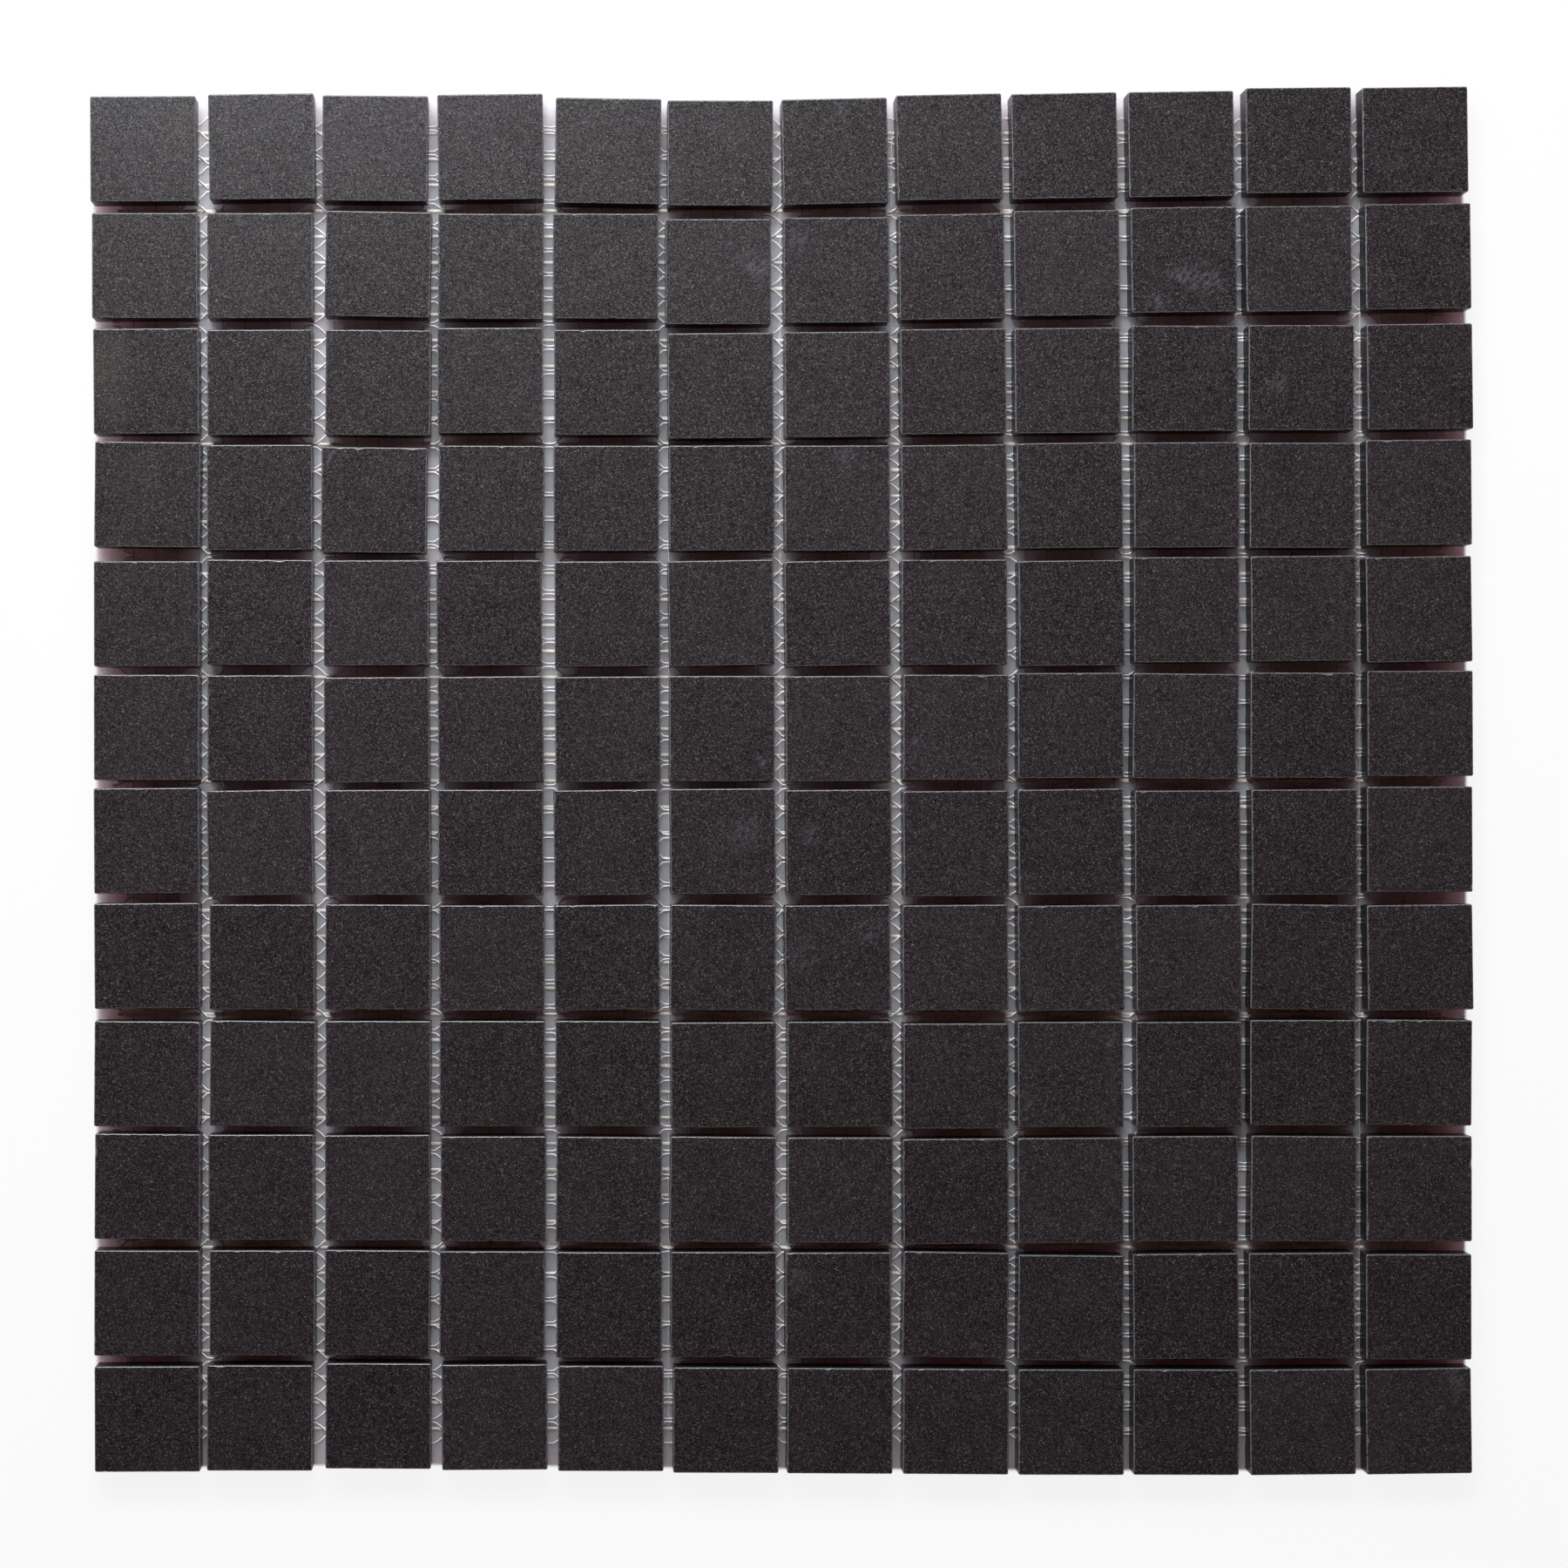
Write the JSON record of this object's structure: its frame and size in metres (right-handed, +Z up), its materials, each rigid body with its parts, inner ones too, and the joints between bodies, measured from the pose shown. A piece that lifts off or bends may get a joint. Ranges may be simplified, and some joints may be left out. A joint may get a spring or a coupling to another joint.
{
  "type": "mosaic tile sheet",
  "caption": "Square sheet of small square unglazed dark porcelain tiles on an open glass-fibre mesh, for bonding to walls and floors.",
  "frame": {"origin": "middle of the sheet's underside, on the plane that the backing yarns rest on", "axes": "+Z up through the tile faces, +X along the tile rows, +Y towards the edge with the wider bare margin, which is the top of the picture"},
  "size_m": [0.3018, 0.303, 0.0067],
  "materials": {
    "black_porcelain": "unglazed, fine matt grain",
    "glass_fibre_yarn": "resin-coated yarn"
  },
  "bodies": {
    "root": {"tile_row_01": "black_porcelain", "tile_row_02": "black_porcelain", "tile_row_03": "black_porcelain", "tile_row_04": "black_porcelain", "tile_row_05": "black_porcelain", "tile_row_06": "black_porcelain", "tile_row_07": "black_porcelain", "tile_row_08": "black_porcelain", "tile_row_09": "black_porcelain", "tile_row_10": "black_porcelain", "tile_row_11": "black_porcelain", "tile_row_12": "black_porcelain", "backing_weft_yarns": "glass_fibre_yarn", "backing_warp_yarns": "glass_fibre_yarn"}
  },
  "joints": []
}
